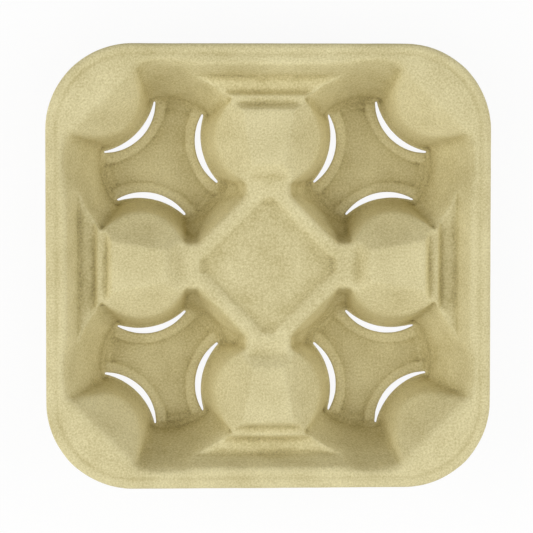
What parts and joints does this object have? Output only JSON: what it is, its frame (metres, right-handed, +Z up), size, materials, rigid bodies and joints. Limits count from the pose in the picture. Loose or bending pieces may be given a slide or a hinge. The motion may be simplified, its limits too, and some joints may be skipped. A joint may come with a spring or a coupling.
{
  "type": "cup carrier",
  "caption": "Square moulded-pulp cup carrier with tapered cup wells, faceted saddles between them, a raised centre diamond and crescent slots in the well floors.",
  "frame": {"origin": "middle of the plane that the four well floors rest on", "axes": "+Z up out of the wells; X and Y square to the sides of the tray"},
  "size_m": [0.216, 0.216, 0.045],
  "materials": {
    "moulded_pulp": "matt, fine fibrous grain"
  },
  "bodies": {
    "root": {"carrier_tray": "moulded_pulp"}
  },
  "joints": []
}
